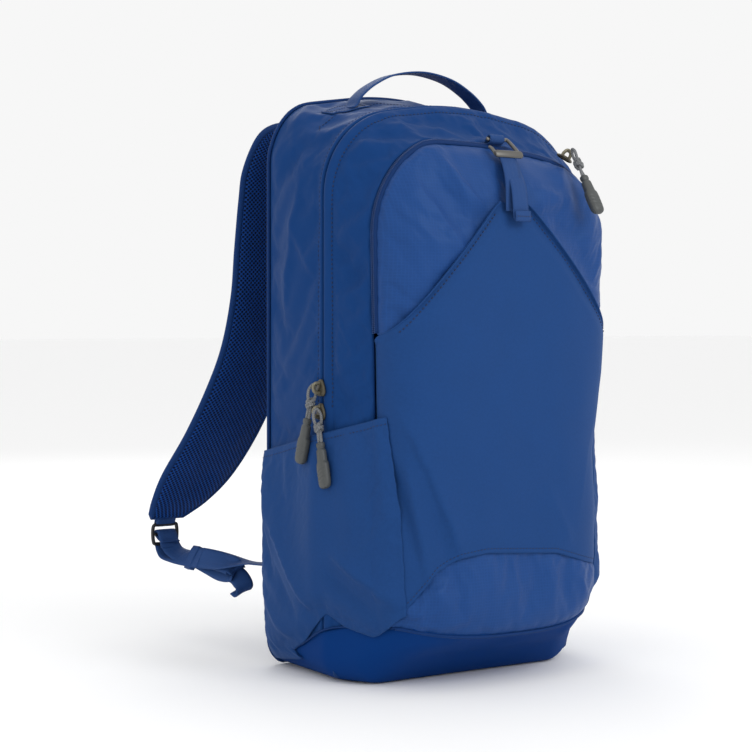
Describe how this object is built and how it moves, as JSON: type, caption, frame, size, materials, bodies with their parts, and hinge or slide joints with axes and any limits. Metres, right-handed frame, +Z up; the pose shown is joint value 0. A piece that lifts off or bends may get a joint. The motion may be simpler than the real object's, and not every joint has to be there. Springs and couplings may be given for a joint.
{
  "type": "daypack",
  "caption": "Clamshell daypack with a hooked stretch stash flap, side pockets, corded zip pulls, a webbing handle and mesh-lined shoulder straps.",
  "frame": {"origin": "on the ground under the middle of the base, in the plane of the main zip", "axes": "+Z up, the pack's front faces -Y, the wearer's back is on the +Y side, +X to the right seen from the front"},
  "size_m": [0.32, 0.3809, 0.5288],
  "materials": {
    "ripstop": "fine blue ripstop nylon",
    "stretch_woven": "matte blue stretch-woven nylon",
    "lining": "thin coated lining",
    "back_mesh": "padded mesh back panel",
    "spacer_mesh": "open-hole spacer mesh",
    "foam": "closed-cell foam",
    "webbing": "ribbed webbing and binding tape",
    "zip_coil": "coil zip and tape",
    "zip_metal": "painted sliders",
    "hook_metal": "satin metal hook",
    "pull_cord": "braided grey cord",
    "pull_grip": "moulded grey grip",
    "buckle": "black moulded adjuster",
    "frame_sheet": "polyethylene frame sheet"
  },
  "bodies": {
    "pack": {"gusset_left": "ripstop", "gusset_right": "ripstop", "gusset_top": "ripstop", "base_panel": "ripstop", "lower_side_left": "ripstop", "lower_side_right": "ripstop", "main_zip_rear": "zip_coil", "front_foot_panel": "ripstop", "front_wall_lower": "lining", "back_panel": "back_mesh", "divider_lower": "lining", "frame_sheet": "frame_sheet", "laptop_sleeve": "lining", "stash_panel_lower": "stretch_woven", "side_pocket_left": "stretch_woven", "side_pocket_right": "stretch_woven", "strap_yoke": "webbing", "handle_tabs": "webbing", "anchor_webbing_left": "webbing", "anchor_webbing_right": "webbing", "main_slider_lower": "zip_metal"},
    "lid": {"lid_band_left": "ripstop", "lid_band_right": "ripstop", "lid_band_top": "ripstop", "main_zip_lid": "zip_coil", "front_zip_lid": "zip_coil", "front_wall_mid": "lining", "divider_upper": "lining", "stash_panel_mid": "stretch_woven", "hook_anchor": "webbing"},
    "front_door": {"front_door_panel": "ripstop", "front_zip_door": "zip_coil"},
    "stash_flap": {"stash_flap_panel": "stretch_woven", "flap_strap": "webbing"},
    "hook": {"g_hook": "hook_metal"},
    "handle": {"grab_handle": "webbing"},
    "slider_upper": {"main_slider_upper": "zip_metal"},
    "slider_front": {"front_slider": "zip_metal"},
    "pull_lower": {"pull_cord_lower": "pull_cord", "pull_grip_lower": "pull_grip"},
    "pull_upper": {"pull_cord_upper": "pull_cord", "pull_grip_upper": "pull_grip"},
    "pull_front": {"pull_cord_front": "pull_cord", "pull_grip_front": "pull_grip"},
    "strap_left": {"strap_foam_left": "foam", "strap_mesh_left": "spacer_mesh", "strap_face_left": "ripstop", "strap_binding_left": "webbing", "strap_daisy_webbing_left": "webbing"},
    "buckle_left": {"ladder_lock_left": "buckle", "adjuster_webbing_left": "webbing"},
    "strap_right": {"strap_foam_right": "foam", "strap_mesh_right": "spacer_mesh", "strap_face_right": "ripstop", "strap_binding_right": "webbing", "strap_daisy_webbing_right": "webbing"},
    "buckle_right": {"ladder_lock_right": "buckle", "adjuster_webbing_right": "webbing"}
  },
  "joints": [
    {"name": "lid_hinge", "type": "hinge", "parent": "pack", "child": "lid", "pos_m": [0, -0.0985, 0.219], "axis": [1, 0, 0], "range_deg": [0, 50]},
    {"name": "front_door_hinge", "type": "hinge", "parent": "lid", "child": "front_door", "pos_m": [0, -0.0985, 0.291], "axis": [1, 0, 0], "range_deg": [0, 50]},
    {"name": "stash_flap_hinge", "type": "hinge", "parent": "front_door", "child": "stash_flap", "pos_m": [0, -0.0985, 0.291], "axis": [1, 0, 0], "range_deg": [0, 60]},
    {"name": "hook_tilt", "type": "hinge", "parent": "stash_flap", "child": "hook", "pos_m": [0.003, -0.075, 0.444], "axis": [1, 0, 0], "range_deg": [0, 70]},
    {"name": "handle_swing", "type": "hinge", "parent": "pack", "child": "handle", "pos_m": [0, 0.052, 0.484], "axis": [1, 0, 0], "range_deg": [-15, 30], "stiffness_Nm_per_rad": 0.05},
    {"name": "main_zip_travel", "type": "slide", "parent": "pack", "child": "slider_upper", "axis": [0.0021, 0, 1], "range_m": [0, 0.17]},
    {"name": "front_zip_travel", "type": "hinge", "parent": "front_door", "child": "slider_front", "pos_m": [0.04452, -0.059, 0.37706], "axis": [0, 1, 0], "range_deg": [-10, 15]},
    {"name": "lower_pull_swing", "type": "hinge", "parent": "pack", "child": "pull_lower", "pos_m": [-0.14202, -0.003, 0.229], "axis": [0, 1, 0], "range_deg": [0, 120]},
    {"name": "upper_pull_swing", "type": "hinge", "parent": "slider_upper", "child": "pull_upper", "pos_m": [-0.14197, 0.003, 0.249], "axis": [0, 1, 0], "range_deg": [0, 120]},
    {"name": "front_pull_swing", "type": "hinge", "parent": "slider_front", "child": "pull_front", "pos_m": [0.08117, -0.067, 0.4522], "axis": [-1, 0, 0], "range_deg": [0, 100]},
    {"name": "strap_left_swing", "type": "hinge", "parent": "pack", "child": "strap_left", "pos_m": [0, 0.097, 0.478], "axis": [1, 0, 0], "range_deg": [-8, 12], "stiffness_Nm_per_rad": 3, "springref_deg": 1.95},
    {"name": "buckle_left_tilt", "type": "hinge", "parent": "strap_left", "child": "buckle_left", "pos_m": [-0.142, 0.272, 0.112], "axis": [1, 0, 0], "range_deg": [-20, 20]},
    {"name": "strap_right_swing", "type": "hinge", "parent": "pack", "child": "strap_right", "pos_m": [0, 0.097, 0.478], "axis": [1, 0, 0], "range_deg": [-8, 12], "stiffness_Nm_per_rad": 3, "springref_deg": 1.95},
    {"name": "buckle_right_tilt", "type": "hinge", "parent": "strap_right", "child": "buckle_right", "pos_m": [0.142, 0.272, 0.112], "axis": [1, 0, 0], "range_deg": [-20, 20]}
  ]
}
